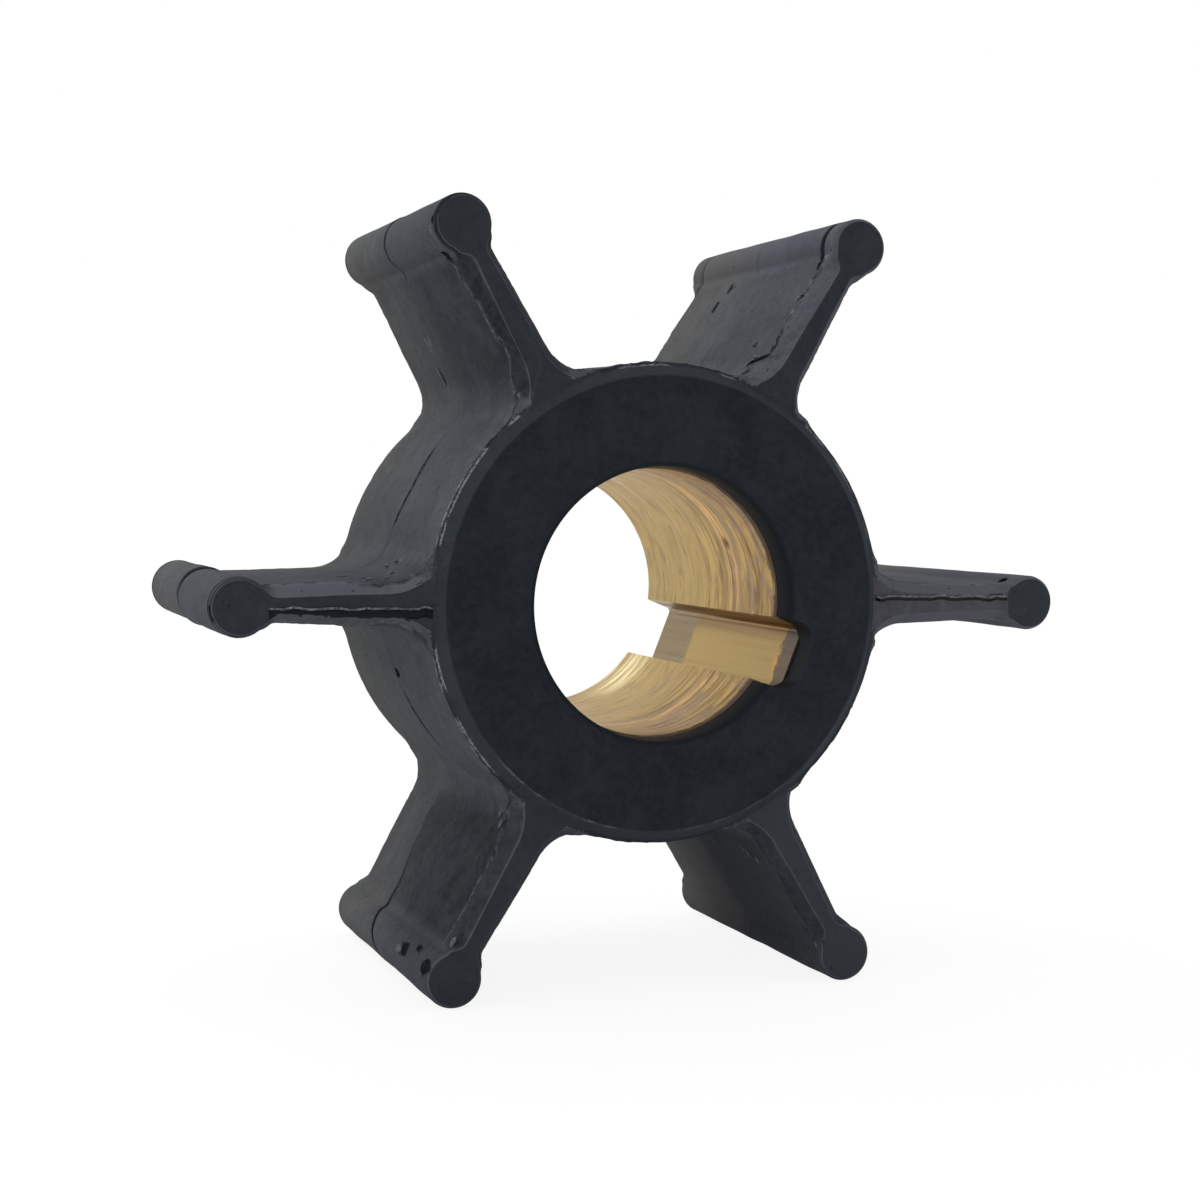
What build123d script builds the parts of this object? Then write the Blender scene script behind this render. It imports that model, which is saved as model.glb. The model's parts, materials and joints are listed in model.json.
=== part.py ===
"""Rubber pump impeller: six beaded vanes moulded round a brass hub insert with a keyway.

The shaft axis runs along Y and the front face looks along -Y. Vane 1 points along +X and
the impeller stands on the tips of its two lower vanes. Sizes are in millimetres.
"""
import os
from math import radians, tan

from build123d import *

# Impeller
TIP_DIAMETER = 40.0          # over the beads, free state
HUB_WIDTH = 17.5             # along the shaft, hub face to hub face
VANE_COUNT = 6
MOULD_DRAFT = 1.0            # degrees, from the parting plane to both ends

# Vanes, thicknesses on the parting plane
VANE_SETBACK = 0.4           # the vane ends stand back this much from the hub faces
VANE_TIP_THICKNESS = 1.8
VANE_ROOT_THICKNESS = 2.4
ROOT_FILLET = 2.0            # vane to hub
EDGE_BEVEL_IN = 0.5          # bevel on the vane ends, across the thickness
EDGE_BEVEL_DEEP = 0.8        # the same bevel, along the shaft
BEAD_DIAMETER = 2.6          # sealing bead at the tip of every vane
BEAD_EDGE = 0.15             # bevel on both ends of a bead

# Hub
HUB_DIAMETER = 21.6          # on the parting plane
RIM_BEVEL = 0.6              # soft bevel round each hub face

# Brass insert
BORE_DIAMETER = 12.0         # running size for the pump shaft
BORE_CHAMFER = 0.2
INSERT_DIAMETER = 18.0       # over the lands that grip the rubber
FLUTE_COUNT = 12             # flutes round the outside of the insert
FLUTE_RADIUS = 0.8
FLUTE_DEPTH = 0.5

# Keyway, through the insert and the rubber lip
KEYWAY_WIDTH = 3.0
KEYWAY_FLOOR = 7.3           # shaft axis to keyway floor
KEYWAY_ANGLE = -21.0         # degrees from vane 1, seen from the front
KEYWAY_CORNER = 0.2          # left by the broach at the floor

# Rubber lip over the front end of the insert, whose rear end is flush with the hub
LIP_THICKNESS = 1.5
LIP_CLEARANCE = 0.08         # the rubber stands back this much from the bore and the keyway
LIP_CORNER = 0.8             # soft corners of the keyway notch in the rubber

# Worked out from the sizes above
hub_end = HUB_WIDTH / 2
vane_end = hub_end - VANE_SETBACK
insert_length = HUB_WIDTH - LIP_THICKNESS
hub_radius = HUB_DIAMETER / 2
bead_radius = BEAD_DIAMETER / 2
bead_circle = TIP_DIAMETER / 2 - bead_radius
bore_radius = BORE_DIAMETER / 2
insert_radius = INSERT_DIAMETER / 2
collar_radius = hub_radius - hub_end * tan(radians(MOULD_DRAFT))

# Half thickness of a vane at its bead's centre, and the same taper run on to the shaft axis
tip_half = VANE_TIP_THICKNESS / 2
vane_taper = (VANE_ROOT_THICKNESS - VANE_TIP_THICKNESS) / 2 / (bead_circle - hub_radius)
axis_half = tip_half + vane_taper * bead_circle

os.makedirs("parts", exist_ok=True)

# --- Outside of the brass insert: a bush with flutes that stop the rubber from slipping
with BuildPart() as insert_outside:
    with BuildSketch(Plane.XZ.offset(-hub_end)):
        Circle(insert_radius)
        with PolarLocations(insert_radius - FLUTE_DEPTH + FLUTE_RADIUS, FLUTE_COUNT):
            Circle(FLUTE_RADIUS, mode=Mode.SUBTRACT)
    extrude(amount=insert_length)

# --- Brass insert: the bush with a broached keyway and a reamed bore
with BuildPart() as brass_insert:
    add(insert_outside)
    with BuildSketch(Plane.XZ) as keyway:
        Rectangle(
            KEYWAY_FLOOR, KEYWAY_WIDTH, rotation=KEYWAY_ANGLE, align=(Align.MIN, Align.CENTER)
        )
        fillet(keyway.vertices().sort_by_distance((0, 0))[-2:], KEYWAY_CORNER)
    extrude(amount=hub_end, both=True, mode=Mode.SUBTRACT)
    with BuildSketch(Plane.XZ):
        Circle(bore_radius)
    extrude(amount=hub_end, both=True, mode=Mode.SUBTRACT)
    bore_mouths = brass_insert.edges(Select.LAST).filter_by(GeomType.CIRCLE)
    chamfer(bore_mouths, BORE_CHAMFER)
brass_insert.part.label = "brass_insert"
export_step(brass_insert.part, "parts/brass_insert.step")

# --- Rubber impeller: hub, vanes and beads are one moulding round the insert
with BuildPart() as rubber_impeller:
    # Hub outline and tapered vanes with their root fillets, drafted from the parting plane
    with BuildSketch(Plane.XZ) as star:
        Circle(hub_radius)
        with PolarLocations(0, VANE_COUNT):
            Polygon(
                (0, -axis_half), (bead_circle, -tip_half), (bead_circle, tip_half), (0, axis_half),
                align=None,
            )
        vane_roots = star.vertices().sort_by_distance((0, 0))[: 2 * VANE_COUNT]
        fillet(vane_roots, ROOT_FILLET)
    extrude(amount=vane_end, both=True, taper=MOULD_DRAFT)
    for star_end in rubber_impeller.faces().filter_by(Axis.Y):
        chamfer(star_end.edges(), EDGE_BEVEL_IN, EDGE_BEVEL_DEEP, reference=star_end)

    # Hub, standing proud of the vanes with a bevelled rim on both faces
    with BuildSketch(Plane.XY) as hub_section:
        Polygon((0, 0), (hub_radius, 0), (collar_radius, hub_end), (0, hub_end), align=None)
        rim = hub_section.vertices().sort_by_distance((collar_radius, hub_end))[0]
        chamfer(rim, RIM_BEVEL)
        mirror(about=Plane.XZ)
    revolve(axis=Axis.Y)

    # Sealing beads
    with BuildSketch(Plane.XZ):
        with PolarLocations(bead_circle, VANE_COUNT):
            Circle(bead_radius)
    extrude(amount=vane_end, both=True)
    bead_rims = rubber_impeller.edges(Select.LAST).filter_by(GeomType.CIRCLE)
    chamfer(bead_rims, BEAD_EDGE)

    # Seat of the insert, and the way through the lip for the shaft and its key
    add(insert_outside, mode=Mode.SUBTRACT)
    with BuildSketch(Plane.XZ) as lip_opening:
        Rectangle(
            KEYWAY_FLOOR + LIP_CLEARANCE,
            KEYWAY_WIDTH + 2 * LIP_CLEARANCE,
            rotation=KEYWAY_ANGLE,
            align=(Align.MIN, Align.CENTER),
        )
        fillet(lip_opening.vertices().sort_by_distance((0, 0))[-2:], LIP_CORNER)
        Circle(bore_radius + LIP_CLEARANCE)
    extrude(amount=hub_end, both=True, mode=Mode.SUBTRACT)
rubber_impeller.part.label = "rubber_impeller"
export_step(rubber_impeller.part, "parts/rubber_impeller.step")
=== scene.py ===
import json
from math import atan2, cos, hypot, pi, radians, sin, sqrt, tan

import bpy
from mathutils import Matrix, Vector, noise

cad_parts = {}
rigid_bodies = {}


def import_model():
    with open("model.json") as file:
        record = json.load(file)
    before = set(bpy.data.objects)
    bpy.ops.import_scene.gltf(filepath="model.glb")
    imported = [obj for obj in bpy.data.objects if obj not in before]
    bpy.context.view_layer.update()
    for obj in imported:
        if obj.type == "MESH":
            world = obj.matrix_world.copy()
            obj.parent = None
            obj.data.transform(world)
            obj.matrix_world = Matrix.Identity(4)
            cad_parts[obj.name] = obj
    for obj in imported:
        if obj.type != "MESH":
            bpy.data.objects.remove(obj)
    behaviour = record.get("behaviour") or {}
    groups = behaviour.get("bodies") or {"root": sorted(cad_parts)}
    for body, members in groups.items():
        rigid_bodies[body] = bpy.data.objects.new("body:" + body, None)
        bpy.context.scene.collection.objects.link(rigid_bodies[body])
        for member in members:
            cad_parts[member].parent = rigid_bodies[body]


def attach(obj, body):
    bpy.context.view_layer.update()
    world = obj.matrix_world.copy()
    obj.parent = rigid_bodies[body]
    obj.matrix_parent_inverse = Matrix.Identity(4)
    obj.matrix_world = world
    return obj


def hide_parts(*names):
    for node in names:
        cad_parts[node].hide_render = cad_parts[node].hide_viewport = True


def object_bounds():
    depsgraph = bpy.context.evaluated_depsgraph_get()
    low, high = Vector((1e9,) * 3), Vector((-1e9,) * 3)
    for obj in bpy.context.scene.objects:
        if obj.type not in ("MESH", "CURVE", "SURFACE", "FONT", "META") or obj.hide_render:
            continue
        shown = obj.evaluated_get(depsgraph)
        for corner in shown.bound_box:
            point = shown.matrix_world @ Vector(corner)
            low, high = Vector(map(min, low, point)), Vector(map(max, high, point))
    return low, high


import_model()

cad_low, cad_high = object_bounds()
MM = 0.001
bpy.ops.object.select_all(action="DESELECT")


# --- Brass insert -------------------------------------------------------------------
# A bush turned from brass bar, with flutes outside that the rubber keys into. The boring
# tool leaves rings in the bore, and the keyway is broached right through.
INSERT_RADIUS = 9.0 * MM
INSERT_FRONT = -7.25 * MM       # a rubber lip covers this end
INSERT_REAR = 8.75 * MM         # this end is flush with the hub
INSERT_SIDES = 96               # facets round the outside
FLUTE_COUNT = 12
FLUTE_RADIUS = 0.8 * MM
FLUTE_DEPTH = 0.5 * MM
FLUTE_SIDES = 24
BORE_RADIUS = 6.0 * MM
BORE_CHAMFER = 0.2 * MM
BORE_STEPS = 160                # facets round the bore
BORE_RINGS = 110                # tool marks along the bore
RING_SIZE = 0.30 * MM
RING_DEPTH = 0.030 * MM
KEYWAY_WIDTH = 3.0 * MM
KEYWAY_FLOOR = 7.3 * MM         # shaft axis to keyway floor
KEYWAY_TURN = radians(21)       # below the vane on the right
KEYWAY_CORNER = 0.2 * MM
OVERRUN = 2.0 * MM              # how far a cutter runs past the ends
WELD = 0.0005 * MM              # points closer than this are merged


def pick(piece):
    """Makes a piece the active one, and the only one selected."""
    bpy.ops.object.select_all(action="DESELECT")
    piece.select_set(True)
    bpy.context.view_layer.objects.active = piece


def choose(piece, test):
    """Goes into edit mode with only those vertices selected that pass a test."""
    bpy.ops.object.mode_set(mode="EDIT")
    bpy.ops.mesh.select_mode(type="VERT")
    bpy.ops.mesh.select_all(action="DESELECT")
    bpy.ops.object.mode_set(mode="OBJECT")
    for vertex in piece.data.vertices:
        vertex.select = test(vertex)
    bpy.ops.object.mode_set(mode="EDIT")


def new_vertex(place):
    """Starts a piece as a plane merged to one vertex, in edit mode, ready to be extruded."""
    bpy.ops.object.select_all(action="DESELECT")
    bpy.ops.mesh.primitive_plane_add(size=MM)
    bpy.ops.object.mode_set(mode="EDIT")
    bpy.ops.mesh.merge(type="CENTER")
    bpy.ops.transform.translate(value=place)
    return bpy.context.object


def draw_line(start, end, steps=1):
    """Extrudes the vertex that is selected along a straight line."""
    for _ in range(steps):
        bpy.ops.mesh.extrude_region_move(
            TRANSFORM_OT_translate={"value": (end - start) / steps}
        )


def draw_profile(places):
    """Starts a piece as straight lines from place to place, and leaves it in edit mode."""
    points = [Vector(place) for place in places]
    piece = new_vertex(points[0])
    for start, end in zip(points, points[1:]):
        draw_line(start, end)
    return piece


def spin_closed(steps):
    """Turns the profile being edited once round the shaft and closes the skin."""
    bpy.ops.mesh.select_all(action="SELECT")
    bpy.ops.mesh.spin(steps=steps, angle=2 * pi, center=(0, 0, 0), axis=(0, 1, 0))
    bpy.ops.mesh.select_all(action="SELECT")
    bpy.ops.mesh.remove_doubles(threshold=WELD)
    bpy.ops.mesh.normals_make_consistent(inside=False)
    bpy.ops.object.mode_set(mode="OBJECT")


def repeat_round(count):
    """Copies the solid being edited to all its places round the shaft."""
    bpy.ops.mesh.select_all(action="SELECT")
    bpy.ops.mesh.spin(steps=count, dupli=True, angle=2 * pi, center=(0, 0, 0), axis=(0, 1, 0))
    bpy.ops.mesh.select_all(action="SELECT")
    bpy.ops.mesh.remove_doubles(threshold=WELD)


def combine(piece, tool, operation):
    """Joins a solid to a piece, or cuts it out of the piece."""
    modifier = piece.modifiers.new("solid", "BOOLEAN")
    modifier.solver = "MANIFOLD"
    modifier.operation = operation
    modifier.object = tool
    bpy.context.view_layer.objects.active = piece
    bpy.ops.object.modifier_apply(modifier=modifier.name)
    bpy.data.meshes.remove(tool.data)


def add_bar(radius, start, end, off_axis, sides):
    """A round bar along the shaft, from start to end, on the shaft's axis or off it."""
    bpy.ops.object.select_all(action="DESELECT")
    bpy.ops.mesh.primitive_cylinder_add(
        vertices=sides, radius=radius, depth=end - start, rotation=(pi / 2, 0, 0),
        location=(off_axis, (start + end) / 2, 0),
    )
    bpy.ops.object.transform_apply(location=True, rotation=True, scale=True)
    return bpy.context.object


def add_key(floor, width, corner, half_length):
    """A square key from the shaft axis to the keyway floor, with its outer corners rounded."""
    bpy.ops.object.select_all(action="DESELECT")
    bpy.ops.mesh.primitive_cube_add(size=1, location=(floor / 2, 0, 0))
    bpy.ops.transform.resize(value=(floor, 2 * half_length, width))
    bpy.ops.object.transform_apply(location=True, rotation=True, scale=True)
    key = bpy.context.object
    bpy.ops.object.mode_set(mode="EDIT")
    bpy.ops.mesh.select_all(action="DESELECT")
    bpy.ops.object.mode_set(mode="OBJECT")
    for edge in key.data.edges:
        a, b = (key.data.vertices[i].co for i in edge.vertices)
        edge.select = min(a.x, b.x) > floor / 2 and abs(a.y - b.y) > half_length
    bpy.ops.object.mode_set(mode="EDIT")
    bpy.ops.mesh.bevel(offset=corner, segments=6)
    bpy.ops.object.mode_set(mode="OBJECT")
    key.rotation_euler = (0, KEYWAY_TURN, 0)
    bpy.ops.object.transform_apply(location=False, rotation=True, scale=False)
    return key


# The blank, and the twelve flutes milled along it
insert = add_bar(INSERT_RADIUS, INSERT_FRONT, INSERT_REAR, 0, INSERT_SIDES)
flutes = add_bar(
    FLUTE_RADIUS, INSERT_FRONT - OVERRUN, INSERT_REAR + OVERRUN,
    INSERT_RADIUS - FLUTE_DEPTH + FLUTE_RADIUS, FLUTE_SIDES,
)
bpy.ops.object.mode_set(mode="EDIT")
repeat_round(FLUTE_COUNT)
bpy.ops.object.mode_set(mode="OBJECT")
combine(insert, flutes, "DIFFERENCE")
insert.name = "turned_insert"

# The cutter for its seat in the rubber: the same blank, run out through the rear face
pick(insert)
bpy.ops.object.duplicate()
seat = bpy.context.object
choose(seat, lambda v: v.co.y > 0)
bpy.ops.transform.translate(value=(0, OVERRUN, 0))
bpy.ops.object.mode_set(mode="OBJECT")

# The boring tool's path: a line of small uneven rings, flared at both mouths
front_mouth = INSERT_FRONT + BORE_CHAMFER
rear_mouth = INSERT_REAR - BORE_CHAMFER
wide = BORE_RADIUS + BORE_CHAMFER + OVERRUN
profile = [(0, INSERT_FRONT - OVERRUN, 0), (wide, INSERT_FRONT - OVERRUN, 0)]
for i in range(BORE_RINGS + 1):
    y = front_mouth + (rear_mouth - front_mouth) * i / BORE_RINGS
    ring = noise.noise(Vector((0, y / RING_SIZE, 7.3)))
    profile.append((BORE_RADIUS + RING_DEPTH * ring, y, 0))
profile += [(wide, INSERT_REAR + OVERRUN, 0), (0, INSERT_REAR + OVERRUN, 0)]
reamer = draw_profile(profile)
spin_closed(BORE_STEPS)

combine(insert, reamer, "DIFFERENCE")
combine(
    insert, add_key(KEYWAY_FLOOR, KEYWAY_WIDTH, KEYWAY_CORNER, INSERT_REAR + OVERRUN), "DIFFERENCE"
)
pick(insert)
bpy.ops.object.shade_smooth_by_angle(angle=radians(30))


def feed(tree, node, socket, value):
    """Sets a node's input to a value, or wires it to a node or to a (node, output) pair."""
    if isinstance(value, bpy.types.Node):
        value = (value, 0)
    if isinstance(value, tuple) and isinstance(value[0], bpy.types.Node):
        tree.links.new(value[0].outputs[value[1]], node.inputs[socket])
    else:
        node.inputs[socket].default_value = value


def add_node(tree, kind, place, **settings):
    """Adds a shader node at a place in the tree's layout, with its settings and inputs."""
    node = tree.nodes.new(kind)
    node.location = (place[0] * 200, place[1] * 180)
    for name, value in settings.items():
        if name.startswith("in_"):
            feed(tree, node, int(name[3:]), value)
        else:
            setattr(node, name, value)
    return node


def add_math(tree, place, operation, *inputs, use_clamp=False):
    """Arithmetic on the outputs of nodes and plain numbers."""
    node = add_node(
        tree, "ShaderNodeMath", place, operation=operation, use_clamp=use_clamp
    )
    for socket, value in enumerate(inputs):
        feed(tree, node, socket, value)
    return node


def add_measure(tree, place, operation, first, second=(0, 0, 0)):
    """A length or distance, or how far two directions agree. Returns the output to wire."""
    node = add_node(
        tree, "ShaderNodeVectorMath", place, operation=operation, in_0=first, in_1=second
    )
    return node, "Value"


def add_noise(tree, place, spot, scale, detail, roughness, twist=0.0):
    """Cloudy noise, read at a spot."""
    return add_node(
        tree, "ShaderNodeTexNoise", place, in_0=spot, in_2=scale, in_3=detail,
        in_4=roughness, in_8=twist,
    )


def add_fade(tree, place, source, low, high, start=0.0, end=1.0):
    """A smooth fade from start to end as its source goes from low to high."""
    return add_node(
        tree, "ShaderNodeMapRange", place, interpolation_type="SMOOTHSTEP",
        in_0=source, in_1=low, in_2=high, in_3=start, in_4=end,
    )


def add_ramp(tree, place, source, *stops):
    """A ramp through the colours of its stops, each a place and a colour."""
    node = add_node(tree, "ShaderNodeValToRGB", place, in_0=source)
    first, last = node.color_ramp.elements
    first.position, first.color = stops[0]
    last.position, last.color = stops[-1]
    for spot, colour in stops[1:-1]:
        node.color_ramp.elements.new(spot).color = colour
    return node


def lay_over(tree, place, under, colour, share):
    """Lays a colour over the one under it, as far as the share says. Returns the output."""
    node = add_node(
        tree, "ShaderNodeMix", place, data_type="RGBA", in_0=share, in_6=under, in_7=colour
    )
    return node, 2


def new_material(name, width):
    """A material with its shader at the right of the layout. Returns it, its tree and shader."""
    material = bpy.data.materials.new(name)
    material.use_nodes = True
    tree = material.node_tree
    shader = tree.nodes["Principled BSDF"]
    shader.location = (width, 0)
    tree.nodes["Material Output"].location = (width + 400, 0)
    return material, tree, shader


# Turned brass: streaks run round the bore, the keyway has broach marks along it, and the
# metal is dull brown beside the rubber
brass, tree, shader = new_material("turned brass", 3200)
place = (add_node(tree, "ShaderNodeTexCoord", (0, 0)), "Object")
parts = add_node(tree, "ShaderNodeSeparateXYZ", (1, 0), in_0=place)
along = (parts, 1)
across = add_node(tree, "ShaderNodeCombineXYZ", (2, 1), in_0=parts, in_2=(parts, 2))
outward = add_node(tree, "ShaderNodeVectorMath", (3, 1), operation="NORMALIZE", in_0=across)
radius = add_measure(tree, (3, 2), "LENGTH", across)


def add_streaks(row, round_size, along_size, detail, twist):
    """Noise drawn out round the bore: its lumps are long round it and short along it."""
    turned = add_node(
        tree, "ShaderNodeVectorMath", (4, row), operation="SCALE", in_0=outward, in_3=round_size
    )
    step = add_math(tree, (4, row - 0.5), "DIVIDE", along, along_size)
    lift = add_node(tree, "ShaderNodeCombineXYZ", (5, row - 0.5), in_1=step)
    spot = add_node(
        tree, "ShaderNodeVectorMath", (6, row), operation="ADD", in_0=turned, in_1=lift
    )
    return add_noise(tree, (7, row), spot, 1.0, detail, 0.6, twist)


fine_streaks = add_streaks(4, 1.4, 0.42 * MM, 3.0, 0.5)
broad_streaks = add_streaks(2.5, 2.4, 1.2 * MM, 4.0, 1.0)
scratches = add_streaks(1, 3.6, 0.10 * MM, 1.0, 0.1)
metal = add_ramp(
    tree, (8, 4), fine_streaks, (0.38, (0.16, 0.094, 0.036, 1)),
    (0.5, (0.42, 0.285, 0.108, 1)), (0.62, (0.70, 0.505, 0.215, 1)),
)

# The front of the bore is streakier, pinker and duller. The rear is an even olive gold.
front_share = add_fade(tree, (6, 6), along, -4.6 * MM, -1.5 * MM, 1.0, 0.15)
even_share = add_fade(tree, (8, 6), along, -3.0 * MM, 3.0 * MM, 0.0, 0.85)
metal = lay_over(tree, (9, 4), metal, (0.46, 0.335, 0.142, 1), even_share)
broad_share = add_fade(tree, (8, 2.5), broad_streaks, 0.42, 0.60)
pink_share = add_math(tree, (9, 5.5), "MULTIPLY", front_share, broad_share)
metal = lay_over(tree, (10, 4), metal, (0.33, 0.225, 0.160, 1), pink_share)
dull_share = add_fade(tree, (9, 2), broad_streaks, 0.50, 0.70, 0.0, 0.6)
metal = lay_over(tree, (11, 4), metal, (0.27, 0.19, 0.085, 1), dull_share)

# A painted glint in a ring of brighter gold, a painted highlight patch at the rear, a dark spot near
# the front, and scratches
# painted glint: a ring of brighter gold round the bore
glint_from = add_math(tree, (6, 8), "ADD", along, 2.7 * MM)
glint_far = add_math(tree, (7, 8), "ABSOLUTE", glint_from)
glint_ring = add_fade(tree, (8, 8), glint_far, 0.15 * MM, 0.75 * MM, 1.0, 0.0)
glint_part = add_fade(tree, (8, 7), fine_streaks, 0.44, 0.58, 0.0, 0.75)
glint_share = add_math(tree, (9, 8), "MULTIPLY", glint_ring, glint_part)
metal = lay_over(tree, (12, 4), metal, (0.86, 0.56, 0.27, 1), glint_share)
# painted highlight: pale gold streaks low in the bore near the rear
highlight_distance = add_measure(tree, (9, 9), "DISTANCE", place, (4.1 * MM, 7.0 * MM, -4.4 * MM))
highlight_near = add_fade(tree, (10, 9), highlight_distance, 0.4 * MM, 3.2 * MM, 1.0, 0.0)
highlight_part = add_fade(tree, (10, 8), fine_streaks, 0.42, 0.54, 0.25, 0.9)
highlight_share = add_math(tree, (11, 9), "MULTIPLY", highlight_near, highlight_part)
metal = lay_over(tree, (13, 4), metal, (0.98, 0.86, 0.52, 1), highlight_share)
# a dark spot near the front of the bore
dark_spot = add_measure(tree, (9, 10), "DISTANCE", place, (5.42 * MM, -2.82 * MM, 2.58 * MM))
dark_spot_share = add_fade(tree, (10, 10), dark_spot, 0.10 * MM, 0.50 * MM, 0.9, 0.0)
metal = lay_over(tree, (14, 4), metal, (0.06, 0.035, 0.02, 1), dark_spot_share)
scratch_share = add_fade(tree, (8, 1), scratches, 0.60, 0.74, 0.0, 0.75)
metal = lay_over(tree, (15, 4), metal, (0.13, 0.07, 0.035, 1), scratch_share)

# The keyway, in its own place along and across
keyed = add_node(tree, "ShaderNodeMapping", (2, -2), in_0=place, in_2=(0, -KEYWAY_TURN, 0))
drawn = add_node(
    tree, "ShaderNodeVectorMath", (3, -2), operation="MULTIPLY", in_0=keyed, in_1=(2600, 40, 2600)
)
broach = add_noise(tree, (4, -2), drawn, 1.0, 2.0, 0.5, 0.3)
key_metal = add_ramp(
    tree, (5, -2), broach, (0.30, (0.33, 0.23, 0.095, 1)), (0.70, (0.50, 0.365, 0.155, 1))
)
key_parts = add_node(tree, "ShaderNodeSeparateXYZ", (3, -3), in_0=keyed)
# painted shade and reflection: the keyway is painted brown toward its upper wall, which stands in
# shadow, and on that wall
wall_shade = add_fade(tree, (5, -3), (key_parts, 2), 0.45 * MM, 1.30 * MM)
key_metal = lay_over(tree, (6, -2), key_metal, (0.25, 0.165, 0.085, 1), wall_shade)
# painted reflection: a grey-brown patch on the keyway's rear part
rear_reflection = add_fade(tree, (5, -4), along, 4.3 * MM, 4.9 * MM, 0.0, 0.9)
key_metal = lay_over(tree, (7, -2), key_metal, (0.25, 0.195, 0.135, 1), rear_reflection)
warm = add_measure(tree, (5, -5), "DISTANCE", keyed, (KEYWAY_FLOOR, -6.3 * MM, -0.35 * MM))
warm_share = add_fade(tree, (6, -5), warm, 0.25 * MM, 1.0 * MM, 0.75, 0.0)
key_metal = lay_over(tree, (8, -2), key_metal, (0.62, 0.32, 0.085, 1), warm_share)
in_keyway = add_fade(tree, (8, -1), radius, BORE_RADIUS + 0.03 * MM, BORE_RADIUS + 0.12 * MM)
metal = lay_over(tree, (13, 2), metal, key_metal, in_keyway)

# Brown film beside the rubber lip, wider in the keyway
film_noise = add_noise(tree, (9, -3), place, 1100.0, 3.0, 0.6)
film_reach = add_math(tree, (10, -3), "MULTIPLY_ADD", film_noise, -1.6 * MM, 0.8 * MM)
key_reach = add_math(tree, (10, -2), "MULTIPLY", in_keyway, -1.0 * MM)
film_place = add_math(tree, (11, -3), "ADD", film_reach, along)
film_depth = add_math(tree, (12, -3), "ADD", film_place, key_reach)
film = add_fade(
    tree, (13, -3), film_depth, INSERT_FRONT + 0.15 * MM, INSERT_FRONT + 0.45 * MM, 0.85, 0.0
)
metal = lay_over(tree, (14, 2), metal, (0.075, 0.045, 0.03, 1), film)
feed(tree, shader, "Base Color", metal)
feed(tree, shader, "Metallic", add_fade(tree, (14, 0), film, 0.0, 1.0, 1.0, 0.35))
relief = add_node(
    tree, "ShaderNodeMix", (14, -2), data_type="FLOAT", in_0=in_keyway, in_2=fine_streaks,
    in_3=broach,
)
feed(tree, shader, "Roughness", add_fade(tree, (15, -1), relief, 0.3, 0.75, 0.24, 0.46))
bump = add_node(tree, "ShaderNodeBump", (15, -2), in_0=0.8, in_1=0.00005)
feed(tree, bump, "Height", relief)
feed(tree, shader, "Normal", bump)
shader.inputs["Specular Tint"].default_value = (0.93, 0.84, 0.72, 1)
insert.data.materials.clear()
insert.data.materials.append(brass)

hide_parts("brass_insert")
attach(insert, "root")


# --- Rubber impeller ----------------------------------------------------------------
# Hub, six vanes and their sealing beads, moulded in one shot of black rubber round the
# brass insert. The mould parts across the middle, and torn flash is left near both ends.
TIP_RADIUS = 20.0 * MM
HUB_RADIUS = 10.8 * MM
HUB_END = 8.75 * MM             # half the hub's width
VANE_END = 8.35 * MM            # the vanes stand back a little from the hub faces
VANE_COUNT = 6
VANE_TIP = 1.8 * MM
VANE_ROOT = 2.4 * MM
ROOT_FILLET = 2.0 * MM
NECK_FILLET = 0.4 * MM          # vane to bead
BEAD_RADIUS = 1.3 * MM
DRAFT = radians(1.0)

bead_x = TIP_RADIUS - BEAD_RADIUS
taper = (VANE_ROOT - VANE_TIP) / 2 / (bead_x - HUB_RADIUS)
axis_half = VANE_TIP / 2 + taper * bead_x


def fillet_centre(circle_x, circle_radius, fillet, way):
    """Centre of the arc that is tangent to a vane's side and to the bead's or hub's circle."""
    reach = circle_radius + fillet
    height = axis_half + fillet * sqrt(1 + taper**2) - taper * circle_x
    root = sqrt((height * taper) ** 2 - (1 + taper**2) * (height**2 - reach**2))
    out = (height * taper + way * root) / (1 + taper**2)
    return Vector((circle_x + out, -VANE_END, height - taper * out))


def draw_arc(centre, start, end, steps):
    """Spins the vertex that is selected round a centre, from start to end."""
    a, b = start - centre, end - centre
    angle = atan2(a.x * b.z - a.z * b.x, a.x * b.x + a.z * b.z)
    bpy.ops.mesh.spin(steps=steps, angle=angle, center=centre, axis=(0, 1, 0))


# Half of one vane's outline, drawn from the tip of its bead to half way along the hub
bead_centre = Vector((bead_x, -VANE_END, 0))
hub_centre = Vector((0, -VANE_END, 0))
side_normal = Vector((taper, 0, 1)).normalized()
neck = fillet_centre(bead_x, BEAD_RADIUS, NECK_FILLET, -1)
root = fillet_centre(0, HUB_RADIUS, ROOT_FILLET, 1)
tip_point = bead_centre + Vector((BEAD_RADIUS, 0, 0))
neck_out = bead_centre + (neck - bead_centre).normalized() * BEAD_RADIUS
neck_in = neck - side_normal * NECK_FILLET
root_out = root - side_normal * ROOT_FILLET
root_in = hub_centre + (root - hub_centre).normalized() * HUB_RADIUS
between = hub_centre + HUB_RADIUS * Vector((cos(pi / VANE_COUNT), 0, sin(pi / VANE_COUNT)))

impeller = new_vertex(tip_point)
impeller.name = "moulded_impeller"
draw_arc(bead_centre, tip_point, neck_out, 20)
draw_arc(neck, neck_out, neck_in, 4)
draw_line(neck_in, root_out, 44)
draw_arc(root, root_out, root_in, 18)
draw_arc(hub_centre, root_in, between, 18)

# The other half, then the whole star
bpy.ops.mesh.select_all(action="SELECT")
bpy.ops.mesh.duplicate()
bpy.ops.transform.resize(value=(1, 1, -1), center_override=(0, 0, 0))
repeat_round(VANE_COUNT)

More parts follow.
